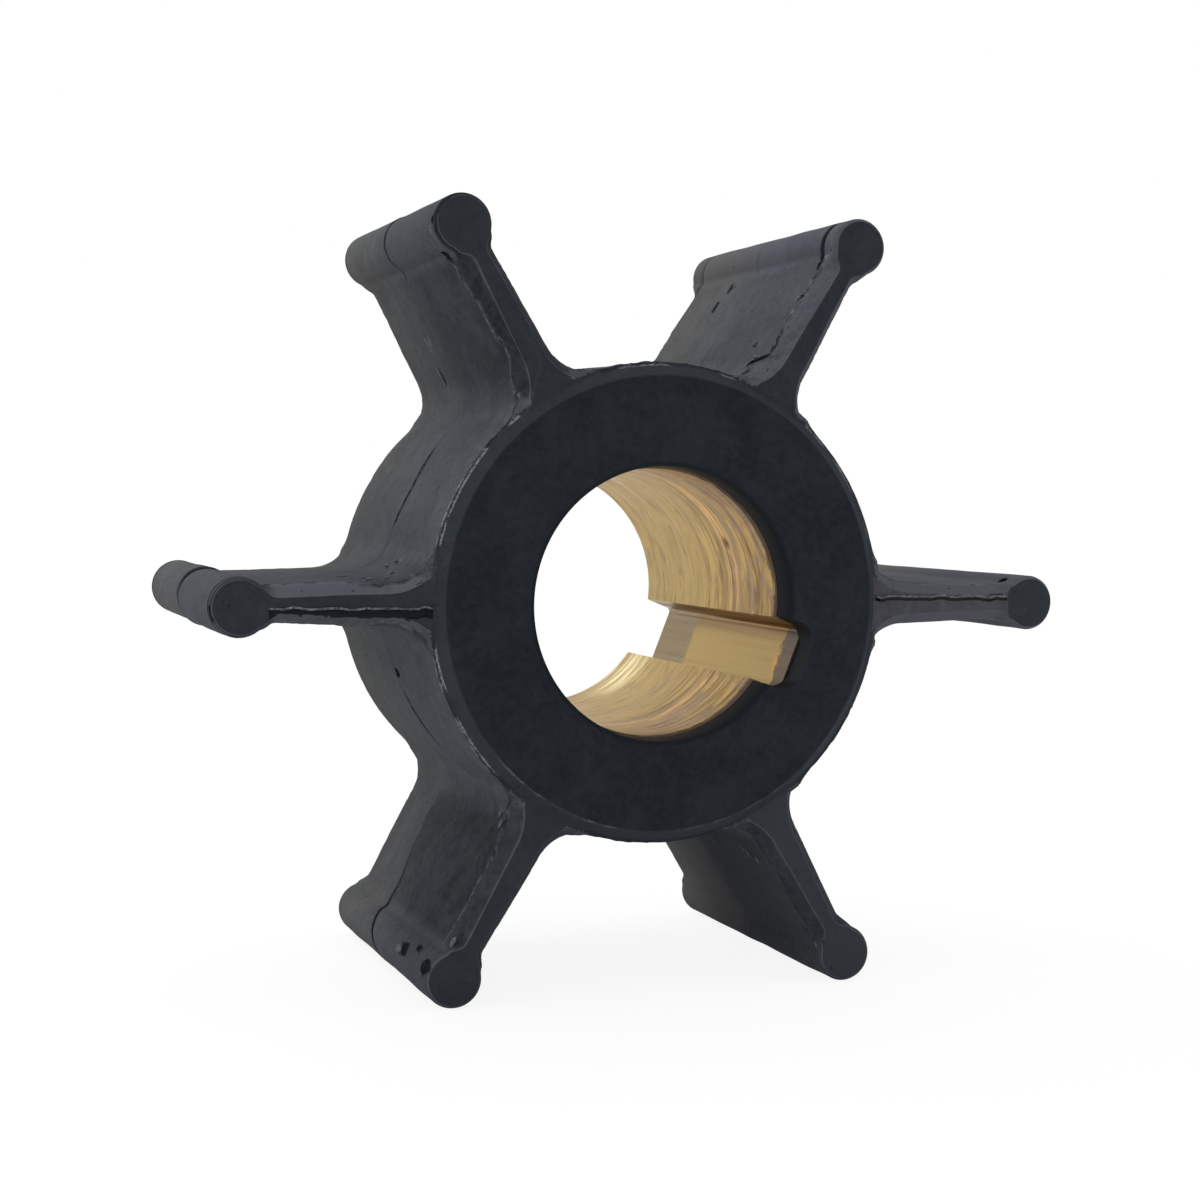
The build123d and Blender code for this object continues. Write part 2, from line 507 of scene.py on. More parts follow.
# The wall of the star from front to rear, in rings that stand close where the flash runs
LINE = 0.06 * MM                # the flash line before it is moved to its place
BAND_RINGS = 9
RING_STEP = LINE / BAND_RINGS
fine = [LINE * i / BAND_RINGS for i in range(BAND_RINGS + 1)]
crest = LINE + 0.045 * MM
behind = LINE + 0.09 * MM
coarse = [0.3, 0.6, 1.0, 1.4, 1.9, 2.5, 3.1, 3.8, 4.5, 5.2, 5.8, 6.4, 7.0, 7.5, 7.9, 8.16, 8.28]
depths = fine + [crest, behind] + [d * MM for d in coarse]
rings = [-VANE_END + d for d in depths] + [0.0] + [VANE_END - d for d in reversed(depths)]
for here, there in zip(rings, rings[1:]):
    bpy.ops.mesh.extrude_region_move(TRANSFORM_OT_translate={"value": (0, there - here, 0)})
bpy.ops.mesh.select_all(action="SELECT")
bpy.ops.mesh.normals_make_consistent(inside=False)
bpy.ops.object.mode_set(mode="OBJECT")

ring_depth = [VANE_END - abs(v.co.y) for v in impeller.data.vertices]


def smooth_step(low, high, value):
    """0 below low, 1 above high, and an even slope between."""
    share = min(1, max(0, (value - low) / (high - low)))
    return share * share * (3 - 2 * share)


def from_table(table, value):
    """Reads a table of (place, value) pairs in millimetres, in straight lines between them."""
    value /= MM
    if value <= table[0][0]:
        return table[0][1] * MM
    for (low, first), (high, second) in zip(table, table[1:]):
        if value <= high:
            return (first + (second - first) * (value - low) / (high - low)) * MM
    return table[-1][1] * MM


def on_vane(point):
    """A point's vane, and its place along and across that vane."""
    angle = atan2(point.z, point.x)
    vane = round(angle / (2 * pi / VANE_COUNT))
    turn = angle - vane * 2 * pi / VANE_COUNT
    radius = hypot(point.x, point.z)
    return vane % VANE_COUNT, radius * cos(turn), radius * sin(turn)


def bead_share(point):
    """1 on the beads, 0 on the rest."""
    along = on_vane(point)[1]
    return smooth_step(bead_x - BEAD_RADIUS * 1.25, bead_x - BEAD_RADIUS * 0.72, along)


def hub_share(point):
    """1 on the hub's wall, 0 on vanes and beads."""
    return 1 - smooth_step(HUB_RADIUS + 0.01 * MM, HUB_RADIUS + 0.3 * MM, hypot(point.x, point.z))


def degrees_round(point):
    """A point's angle round the shaft in degrees, counted from the vane on the right."""
    return atan2(point.z, point.x) * 180 / pi % 360


def arc_share(point, first, last, fade):
    """1 between two angles round the hub in degrees, fading to 0 outside them."""
    angle = degrees_round(point)
    rise = smooth_step(first - fade, first + fade, angle)
    return rise * (1 - smooth_step(last - fade, last + fade, angle))


def grain(point, size, seed):
    """Smooth noise between 0 and 1, with lumps of the given size."""
    return min(1, max(0, 0.5 + 0.8 * noise.noise(point / size + Vector((seed, 0, 0)))))


def push(piece, name, amount, weight, direction="NORMAL"):
    """Moves a piece's skin by amount, times the weight from 0 to 1 that each vertex is given."""
    group = piece.vertex_groups.new(name=name)
    for vertex in piece.data.vertices:
        share = weight(vertex)
        if share > 0:
            group.add([vertex.index], min(1, share), "REPLACE")
    modifier = piece.modifiers.new(name, "DISPLACE")
    modifier.vertex_group = group.name
    modifier.mid_level = 0
    modifier.strength = amount
    modifier.direction = direction
    bpy.context.view_layer.objects.active = piece
    bpy.ops.object.modifier_apply(modifier=modifier.name)
    piece.vertex_groups.remove(piece.vertex_groups[name])


# Where the flash runs, in depth from the vane's end: beside each place along the vanes, from
# root to bead, and on the beads. Round the hub it runs close to the end.
MOST_SHIFT = 5.0 * MM
flash_on_vane = [
    [(10.5, 0.5), (12.0, 0.8), (14.0, 0.6), (16.5, 0.75), (18.0, 1.0)],
    [(10.8, 1.4), (11.6, 1.9), (12.0, 2.9), (12.4, 1.2), (13.0, 0.95), (14.3, 1.33), (15.4, 1.03),
     (17.25, 1.06)],
    [(10.5, 0.75), (11.8, 1.0), (12.5, 0.45), (13.3, 0.6), (15.3, 0.74), (16.4, 1.5), (17.4, 1.5),
     (18.8, 1.85)],
    [(11.0, 0.5), (12.7, 0.42), (14.0, 0.8), (15.5, 1.3), (17.0, 1.1)],
    [(11.5, 0.86), (12.3, 1.3), (13.1, 0.74), (13.9, 0.95), (15.8, 0.8), (16.75, 1.0)],
    [(11.0, 0.7), (12.5, 1.1), (14.0, 0.7), (16.0, 0.9), (17.5, 0.6)],
]
flash_on_bead = [1.0, 1.35, 0.35, 0.30, 1.0, 0.5]
REAR_DEPTH = 0.8 * MM           # the rear flash is trimmed more evenly, near this depth
REAR_WANDER = 0.4

# The flash was cut back on one side of each vane. These are how torn the other side is, which
# side that is (1 above, -1 below as the vane points right, 0 both), and how deep the flash
# line and the parting line are nicked into each bead.
torn_on = [0.30, 1.0, 0.5, 0.40, 0.40, 0.05]
torn_side = [1, 1, 1, 0, -1, -1]
bead_nick = [0.0, 0.7, 0.0, 1.0, 0.0, 0.0]
bead_parting = [0.0, 0.10, 0.45, 0.75, 0.55, 0.05]


def line_depth(point):
    """The depth of the flash line from the nearer end, at a place on the outline."""
    spot = Vector((point.x, -3 * MM if point.y < 0 else 3 * MM, point.z))
    vane, along, _ = on_vane(point)
    depth = from_table(flash_on_vane[vane], along)
    if point.y > 0:
        depth = REAR_DEPTH + REAR_WANDER * (depth - REAR_DEPTH)
    wander = noise.noise(spot / (0.9 * MM)) * 0.22 * MM
    wander += noise.noise(spot / (0.34 * MM)) * 0.15 * MM
    depth += wander * (0.35 + 0.65 * torn_share(point))
    bead = smooth_step(bead_x - BEAD_RADIUS * 1.1, bead_x - BEAD_RADIUS * 0.7, along)
    bead_depth = flash_on_bead[vane] * MM + 0.15 * wander
    depth += bead * (bead_depth - depth)
    hub = 1 - smooth_step(HUB_RADIUS + 0.02 * MM, HUB_RADIUS + 0.6 * MM, hypot(point.x, point.z))
    hub_depth = 0.10 * MM + 0.10 * MM * grain(spot, 0.7 * MM, 3.0)
    depth += hub * (hub_depth - depth)
    return max(LINE, depth)


def torn_share(point):
    """How torn the flash is at a place, from 0 to 1."""
    vane, _, across = on_vane(point)
    cut_back = torn_side[vane] * across < 0
    return torn_on[vane] * (0.2 if cut_back else 1) * (1 if point.y < 0 else REAR_WANDER)


def shift_weight(vertex):
    """The flash line's shift, shared out over the rings before and behind it."""
    depth = ring_depth[vertex.index]
    reach = VANE_END - 0.6 * MM
    share = depth / LINE if depth <= LINE else max(0, (reach - depth) / (reach - LINE))
    return share * (line_depth(vertex.co) - LINE) / MOST_SHIFT


push(impeller, "front line", MOST_SHIFT, lambda v: shift_weight(v) if v.co.y < 0 else 0, "Y")
push(impeller, "rear line", -MOST_SHIFT, lambda v: shift_weight(v) if v.co.y > 0 else 0, "Y")

# Draft from the parting plane, and the bevel on the vane ends
BEVEL_IN = 0.5 * MM
BEVEL_DEEP = 0.8 * MM
HUB_TUCK = 0.10 * MM            # the wall dips under the hub's collar at its ends
BEAD_EDGE = 0.15 * MM
push(
    impeller, "draft", -VANE_END * tan(DRAFT),
    lambda v: abs(v.co.y) / VANE_END * (1 - bead_share(v.co)),
)


def end_bevel(vertex):
    """The bevel's depth into the skin, as a share of the bevel on the vanes."""
    point = vertex.co
    depth = VANE_END - abs(point.y)
    bead, hub = bead_share(point), hub_share(point)
    deep = BEVEL_DEEP + bead * (BEAD_EDGE - BEVEL_DEEP) + hub * (HUB_TUCK - BEVEL_DEEP)
    inward = BEVEL_IN + bead * (BEAD_EDGE - BEVEL_IN)
    share = max(0, 1 - depth / deep)
    return inward / BEVEL_IN * (0.25 * share**2 + 0.75 * share)


push(impeller, "end bevel", -BEVEL_IN, end_bevel)

# Torn flash: a ragged crest along the line, with a nick on its end side and rough skin from
# there to the end
CREST = 0.09 * MM
NICK = 0.15 * MM
ROUGH = 0.12 * MM


def crest_weight(vertex):
    """The ring behind the flash line stands up, higher and lower by turns."""
    if abs(ring_depth[vertex.index] - crest) > RING_STEP:
        return 0
    point = vertex.co
    tall = smooth_step(0.25, 0.70, grain(point, 0.32 * MM, 11.0)) * (
        0.3 + 0.7 * grain(point, 2.5 * MM, 5.0)
    )
    hub = hub_share(point)
    on_hub = 0.7 if point.y < 0 else 0.2
    return tall * (hub * on_hub + (1 - hub) * torn_share(point)) * (1 - bead_share(point))


def nick_weight(vertex):
    """The flash line and the ring before it are sunk, in broken lengths."""
    if not LINE - 1.2 * RING_STEP < ring_depth[vertex.index] < LINE + RING_STEP:
        return 0
    point = vertex.co
    bead, hub = bead_share(point), hub_share(point)
    broken = 0.15 + 0.85 * smooth_step(0.35, 0.65, grain(point, 0.7 * MM, 17.0))
    deep = broken * (hub * 0.4 + (1 - hub) * 0.75 * torn_share(point))
    return deep + bead * (bead_nick[on_vane(point)[0]] - deep)


def rough_weight(vertex):
    """The rings between the end and the flash line are lumpy on the torn side."""
    if not RING_STEP / 2 < ring_depth[vertex.index] < LINE - RING_STEP / 2:
        return 0
    point = vertex.co
    lumps = grain(point, 0.26 * MM, 23.0) ** 2
    return lumps * torn_share(point) * (1 - bead_share(point)) * (1 - hub_share(point))


push(impeller, "flash crest", CREST, crest_weight)
push(impeller, "flash nick", -NICK, nick_weight)
push(impeller, "rough band", -ROUGH, rough_weight)

# The parting line across the middle wanders on some vanes. It is sharp on the beads, open on
# the left of the hub, and broken elsewhere.
MOST_WANDER = 3.5 * MM
PARTING = 0.26 * MM
parting_on_vane = {
    2: [(10.0, 0.0), (17.5, 0.4), (19.3, 0.2)],
    4: [(12.3, 2.76), (13.1, 2.96), (14.7, 2.6), (16.4, 2.15), (18.0, 2.0), (19.1, 1.24), (20.0, 0.4)],
}
parting_on_hub = [
    (130, -0.5), (140, -0.66), (152, -1.06), (163, -0.75), (180, -0.6), (204, -1.15),
    (220, -1.98), (228, -2.0), (234, 0.0),
]


def parting_place(point):
    """Where the parting line runs, along the shaft."""
    vane, along, _ = on_vane(point)
    place = from_table(parting_on_vane.get(vane, [(0, 0), (1, 0)]), along)
    on_hub = from_table(parting_on_hub, degrees_round(point) * MM) * arc_share(point, 132, 232, 3)
    hub = 1 - smooth_step(HUB_RADIUS + 0.3 * MM, HUB_RADIUS + 1.2 * MM, hypot(point.x, point.z))
    place += hub * (on_hub - place)
    return place + 0.12 * MM * noise.noise(Vector((point.x, 0, point.z)) / (1.1 * MM))


def wander_weight(vertex):
    """The wall's shift to the rear with the parting line, less and less toward the ends."""
    return max(0, 1 - abs(vertex.co.y) / (7 * MM)) * parting_place(vertex.co) / MOST_WANDER


push(impeller, "parting to the rear", MOST_WANDER, wander_weight, "Y")
push(impeller, "parting to the front", -MOST_WANDER, lambda v: -wander_weight(v), "Y")


def crack_share(point):
    """1 where the parting line is torn open, on the left of the hub."""
    return max(arc_share(point, 141, 162, 3), arc_share(point, 205, 219, 2))


def parting_share(point):
    """How far the parting line is open at a place on the outline."""
    bead, hub = bead_share(point), hub_share(point)
    vane, along, _ = on_vane(point)
    deep = 0.02 + 0.08 * smooth_step(0.45, 0.62, grain(point, 3.0 * MM, 41.0))
    if vane == 4:
        deep = 0.10 + 0.3 * smooth_step(15 * MM, 18 * MM, along)
        deep *= smooth_step(11.8 * MM, 12.8 * MM, along)
    deep += bead * (bead_parting[vane] - deep)
    torn = crack_share(point) * (0.6 + 0.4 * grain(point, 0.5 * MM, 47.0))
    return deep + hub * (max(deep, torn) - deep)


def parting_weight(vertex):
    """The middle ring is sunk as far as the parting line is open."""
    return parting_share(vertex.co) if ring_depth[vertex.index] > VANE_END - RING_STEP else 0


def crack_side_weight(vertex):
    """The rings on both sides of the parting line give way where it is torn open."""
    if abs(ring_depth[vertex.index] - depths[-1]) > RING_STEP:
        return 0
    point = vertex.co
    open_crack = crack_share(point) * hub_share(point) * grain(point, 0.3 * MM, 53.0)
    return max(0.55 * open_crack, 0.45 * bead_share(point) if on_vane(point)[0] == 3 else 0)


push(impeller, "parting line", -PARTING, parting_weight)
push(impeller, "crack sides", -PARTING, crack_side_weight)

# Hand work in the mould: its front half sits a little lower at the left vane, and the skin is
# gently uneven all over
MISMATCH = 0.10 * MM
UNEVEN = 0.05 * MM
mismatch_at = {3: 1.0, 2: 0.5}


def mismatch_weight(vertex):
    """The part of each bead in front of the parting line, as far as that bead is shifted."""
    in_middle = ring_depth[vertex.index] > VANE_END - RING_STEP
    if in_middle or vertex.co.y > parting_place(vertex.co):
        return 0
    return bead_share(vertex.co) * mismatch_at.get(on_vane(vertex.co)[0], 0)


push(impeller, "mould mismatch", -MISMATCH, mismatch_weight, "Z")
push(impeller, "uneven skin", -UNEVEN, lambda v: grain(v.co, 2.2 * MM, 31.0))

# The ends of the star: flat, with a thin lip of flash round the edge. The right vane's disc is marked
# off from its flat, which alone takes a painted reflection
DISC_START = 17.6 * MM
LIP_WIDTH = 0.06 * MM
wall_size = len(ring_depth)
pick(impeller)
for end in (-VANE_END, VANE_END):
    choose(impeller, lambda v: (
        v.index < wall_size and ring_depth[v.index] < RING_STEP / 2 and v.co.y * end > 0
    ))
    bpy.ops.transform.resize(value=(1, 0, 1), center_override=(0, end, 0))
    bpy.ops.mesh.edge_face_add()
    bpy.ops.mesh.select_mode(type="FACE")
    bpy.ops.mesh.inset(thickness=LIP_WIDTH, depth=0)
    bpy.ops.mesh.bisect(plane_co=(DISC_START, 0, 0), plane_no=(1, 0, 0))
bpy.ops.mesh.select_all(action="SELECT")
bpy.ops.mesh.normals_make_consistent(inside=False)
bpy.ops.mesh.select_mode(type="VERT")
bpy.ops.object.mode_set(mode="OBJECT")

# The hub's core and collars: a plain drum with a bevelled rim on both faces
COLLAR_RADIUS = 10.61 * MM
RIM_IN = 0.56 * MM
RIM_DEEP = 0.6 * MM
RIM_LAND = 0.3 * MM
RIM_EDGE = COLLAR_RADIUS - RIM_IN
RIM_SOFT = 0.12 * MM            # the rim's corners are rounded by this much
DRUM_STEPS = 240
drum = draw_profile([
    (0, -HUB_END, 0), (RIM_EDGE - RIM_LAND, -HUB_END, 0), (RIM_EDGE, -HUB_END, 0),
    (COLLAR_RADIUS - 0.3 * RIM_IN, -HUB_END + 0.7 * RIM_DEEP, 0),
    (COLLAR_RADIUS, -HUB_END + RIM_DEEP, 0), (COLLAR_RADIUS, HUB_END - RIM_DEEP, 0),
    (RIM_EDGE, HUB_END, 0), (RIM_EDGE - RIM_LAND, HUB_END, 0), (0, HUB_END, 0),
])
bpy.ops.mesh.select_all(action="SELECT")
bpy.ops.object.mode_set(mode="OBJECT")
for vertex in drum.data.vertices:
    vertex.select = vertex.co.x > RIM_EDGE - 0.1 * MM and abs(vertex.co.y) > MM
bpy.ops.object.mode_set(mode="EDIT")
bpy.ops.mesh.bevel(offset=RIM_SOFT, segments=3, affect="VERTICES")
spin_closed(DRUM_STEPS)
combine(impeller, drum, "UNION")

# The seat of the insert, and the way through the front lip for the shaft and its key
LIP_CLEARANCE = 0.08 * MM
LIP_CORNER = 0.8 * MM
LIP_EDGE = 0.10 * MM            # soft edge of the hole in the hub face
combine(impeller, seat, "DIFFERENCE")
lip_key = add_key(
    KEYWAY_FLOOR + LIP_CLEARANCE, KEYWAY_WIDTH + 2 * LIP_CLEARANCE, LIP_CORNER, HUB_END + OVERRUN
)
combine(impeller, lip_key, "DIFFERENCE")
lip = BORE_RADIUS + LIP_CLEARANCE
way_through = draw_profile([
    (0, -HUB_END - OVERRUN, 0), (lip + LIP_EDGE + OVERRUN, -HUB_END - OVERRUN, 0),
    (lip + LIP_EDGE, -HUB_END, 0), (lip + 0.3 * LIP_EDGE, -HUB_END + 0.3 * LIP_EDGE, 0),
    (lip, -HUB_END + LIP_EDGE, 0), (lip, HUB_END + OVERRUN, 0), (0, HUB_END + OVERRUN, 0),
])
spin_closed(BORE_STEPS)
combine(impeller, way_through, "DIFFERENCE")

# Small marks: pits where air was caught in the mould, and crumbs of flash that stayed on
SPHERE_SIDES = 16
pits = [    # vane, then along, shaft and across, then the half sizes the same way, all in mm
    (4, (18.80, -7.75, -1.30), (0.36, 0.50, 0.24)), (4, (18.78, -4.25, -1.30), (0.34, 0.40, 0.20)),
    (4, (18.30, -5.80, -1.26), (0.16, 0.26, 0.12)), (3, (10.20, -1.30, 3.52), (0.24, 0.30, 0.24)),
    (0, (17.80, -7.20, 1.05), (0.30, 0.30, 0.14)), (0, (12.4, 5.2, 1.35), (0.2, 0.3, 0.1)),
    (3, (12.78, -5.60, -1.07), (0.30, 0.10, 0.09)), (3, (12.11, -6.75, -1.10), (0.16, 0.16, 0.13)),
    (3, (13.45, -4.05, -1.04), (0.26, 0.08, 0.07)), (3, (13.9, -7.35, -1.05), (0.26, 0.07, 0.08)),
    (2, (19.40, -7.98, 1.09), (0.20, 0.12, 0.14)), (2, (17.75, -7.0, 0.96), (0.50, 0.24, 0.16)),
    (1, (17.0, 2.45, 0.93), (0.34, 0.10, 0.07)), (1, (16.0, 3.05, 0.96), (0.40, 0.13, 0.09)),
    (1, (17.3, -7.1, 0.86), (0.16, 0.16, 0.10)), (1, (15.6, -7.2, 0.92), (0.12, 0.22, 0.10)),
    (1, (14.4, -7.3, 0.96), (0.14, 0.20, 0.10)), (5, (15.2, 3.3, 1.12), (0.18, 0.12, 0.09)),
    (2, (15.9, 5.9, -1.06), (0.13, 0.26, 0.09)), (4, (13.6, 6.3, 1.20), (0.2, 0.1, 0.09)),
]
crumbs = [
    (5, (12.9, -5.2, -1.03), (0.12, 0.16, 0.08)), (5, (13.1, -5.6, -1.03), (0.16, 0.12, 0.07)),
    (5, (13.3, -6.3, -1.01), (0.18, 0.10, 0.07)), (5, (17.8, -7.95, -0.86), (0.26, 0.12, 0.09)),
    (3, (12.9, -6.90, -1.01), (0.20, 0.08, 0.07)), (3, (11.25, -3.50, -1.47), (0.16, 0.10, 0.08)),
    (3, (10.95, -4.00, -1.70), (0.20, 0.10, 0.08)), (3, (11.6, -5.60, -1.24), (0.12, 0.10, 0.07)),
    (4, (11.45, -6.7, -1.28), (0.28, 0.10, 0.09)), (4, (11.85, -7.0, -1.15), (0.28, 0.10, 0.09)),
    (4, (18.95, -3.60, -1.26), (0.16, 0.20, 0.07)), (4, (17.3, -8.05, -0.80), (0.26, 0.12, 0.10)),
    (1, (13.1, -5.2, 1.06), (0.16, 0.14, 0.12)), (1, (12.3, -6.2, 1.03), (0.10, 0.18, 0.12)),
    (1, (15.5, -7.0, 0.92), (0.14, 0.16, 0.10)), (1, (17.7, -7.5, 0.84), (0.16, 0.18, 0.08)),
    (2, (19.0, -7.6, 1.22), (0.20, 0.10, 0.07)), (2, (14.2, 2.0, 1.04), (0.50, 0.06, 0.04)),
    (2, (12.4, 2.35, 1.15), (0.70, 0.07, 0.05)),
]


def add_marks(marks):
    """Small balls, each stretched to a mark's size and turned to its vane, as one piece."""
    bpy.ops.object.select_all(action="DESELECT")
    for vane, (along, shaft, across), size in marks:
        bpy.ops.mesh.primitive_uv_sphere_add(
            segments=SPHERE_SIDES, ring_count=SPHERE_SIDES // 2, radius=MM,
            location=Vector((along, shaft, across)) * MM,
        )
        ball = bpy.context.object
        ball.scale = size
        bpy.ops.object.transform_apply(location=True, rotation=True, scale=True)
        ball.data.transform(Matrix.Rotation(-vane * 2 * pi / VANE_COUNT, 4, "Y"))
        ball["mark"] = True
    for piece in bpy.context.view_layer.objects:
        if piece.get("mark"):
            piece.select_set(True)
            bpy.context.view_layer.objects.active = piece
    bpy.ops.object.join()
    del bpy.context.object["mark"]
    return bpy.context.object


combine(impeller, add_marks(pits), "DIFFERENCE")
combine(impeller, add_marks(crumbs), "UNION")

# Where the mould's inserts met, a thin torn edge with a shallow trough beside it runs from hub
# to bead along the ends of the vanes on the left and right
SEAM_START = 10.5 * MM
SEAM_END = 17.5 * MM
SEAM_STEPS = 44
LEFT_TROUGH = (0.20 * MM, 0.60 * MM)        # from and to, across the vane
RIGHT_TROUGH = (0.12 * MM, 0.28 * MM)
TROUGH_DEEP = 0.10 * MM
TROUGH_OVER = 0.2 * MM          # how far its cutter stands out of the vane's end
EDGE_WIDE = 0.09 * MM
EDGE_HIGH = 0.05 * MM
EDGE_ROOT = 0.2 * MM


def add_seam(turn, width, low, high, across):
    """A wavy strip along a turned vane, at both ends, from the depth low to the height high."""
    places = [(SEAM_START, -VANE_END - high, across)]
    for i in range(1, SEAM_STEPS + 1):
        x = SEAM_START + (SEAM_END - SEAM_START) * i / SEAM_STEPS
        wave = noise.noise(Vector((x / (0.8 * MM), 2.0, 0))) * 0.10 * MM
        wave += noise.noise(Vector((x / (0.25 * MM), 2.0, 5))) * 0.05 * MM
        places.append((x, -VANE_END - high, across + wave))
    strip = draw_profile(places)
    for step in ((0, 0, width), (0, high + low, 0)):
        bpy.ops.mesh.select_all(action="SELECT")
        bpy.ops.mesh.extrude_region_move(TRANSFORM_OT_translate={"value": step})
    bpy.ops.mesh.select_all(action="SELECT")
    bpy.ops.mesh.duplicate()
    bpy.ops.transform.resize(value=(1, -1, 1), center_override=(0, 0, 0))
    bpy.ops.mesh.select_all(action="SELECT")
    bpy.ops.transform.rotate(value=turn, orient_axis="Y", center_override=(0, 0, 0))
    bpy.ops.mesh.normals_make_consistent(inside=False)
    bpy.ops.object.mode_set(mode="OBJECT")
    return strip


for turn, (start, end), edge in ((pi, LEFT_TROUGH, 0.12 * MM), (0, RIGHT_TROUGH, 0.27 * MM)):
    trough = add_seam(turn, end - start, TROUGH_DEEP, TROUGH_OVER, start)
    combine(impeller, trough, "DIFFERENCE")
    combine(impeller, add_seam(turn, EDGE_WIDE, EDGE_ROOT, EDGE_HIGH, edge), "UNION")

# Where the skin is torn, rough, pale or dark, kept with the mesh for the materials. Part of the
# paleness and darkness is painted light, shade and reflection, and the torn edges carry painted
# highlights
TORN_WIDTH = 0.07 * MM
SOFT = 0.03 * MM                # how softly the skin changes at the flash line
# painted light: the upper right vane's sides are paler as lit from above; the right vane's are paler
# as painted reflection
SIDE_TONE = [0.46, 0.22, 0, 0, 0, 0]                    # on the sides, by vane
# painted reflection: the right vane's band is paler
BAND_TONE = [0.60, 0.50, -0.28, 0.62, -0.16, -0.10]     # between flash line and end, by vane
# painted reflection: the right vane's pressed end is paler
END_TONE = [0.50, 0.36, 0.38, 0.40, 0.50, 0.85]         # on the pressed ends, by vane
RIM_TONE = 0.46
# painted shade: pits and troughs are darkened
MARK_SHADE = -0.8                # in pits and troughs
MARK_REACH = 1.05               # how far a mark's tone goes, as a share of its size


def outside_line(depth, line):
    """1 between the flash line and the end, 0 behind the line."""
    return 1 - smooth_step(line - SOFT, line + SOFT, depth)


def skin_tone(point):
    """How much paler (above 0) or darker (below 0) the skin is than elsewhere, partly as painted light
    and shade.
    """
    vane, along, across = on_vane(point)
    depth = VANE_END - abs(point.y)
    if depth < 0.005 * MM:
        return END_TONE[vane]
    front = 1 - smooth_step(-2 * MM, 4.5 * MM, point.y)
    bead, hub, line = bead_share(point), hub_share(point), line_depth(point)
    on_side = smooth_step(HUB_RADIUS, HUB_RADIUS + 1.5 * MM, along)
    tone = 0.14 * bead + 0.16 * hub * front + SIDE_TONE[vane]
    # painted shade: darker fronts on the upper left, lower left and lower right vanes, and a paler
    # rear on the lower right, as light falls
    if vane == 2:
        tone -= 0.24 * front * (1 - bead) * on_side
    elif vane == 4:
        in_front = 1 - smooth_step(-0.05 * MM, 0.05 * MM, point.y - parting_place(point))
        tone -= (0.26 * in_front + 0.06 * front) * on_side * (1 - 0.7 * bead)
    elif vane == 5:
        tone -= (0.70 * front - 0.66) * on_side
    band_tone = 0.30 if vane == 3 and across > 0 else BAND_TONE[vane]
    tone += outside_line(depth, line) * (1 - bead) * (1 - hub) * (band_tone - tone)
    if vane == 2:
        tone -= 0.5 * bead * (1 - smooth_step(0.30 * MM, 0.40 * MM, depth))
    at_nick = 1 - smooth_step(0.03 * MM, 0.10 * MM, abs(depth - line - 0.06 * MM))
    tone -= 1.6 * bead * bead_nick[vane] * at_nick
    at_parting = 1 - smooth_step(0.10 * MM, 0.24 * MM, abs(point.y - parting_place(point)))
    return tone - 1.4 * at_parting * parting_share(point)


def in_mark(marks, vane, spot):
    """Whether a spot on a vane, in millimetres, is in one of the marks."""
    return any(
        on == vane and hypot(*((a - b) / c for a, b, c in zip(spot, centre, size))) < MARK_REACH
        for on, centre, size in marks
    )


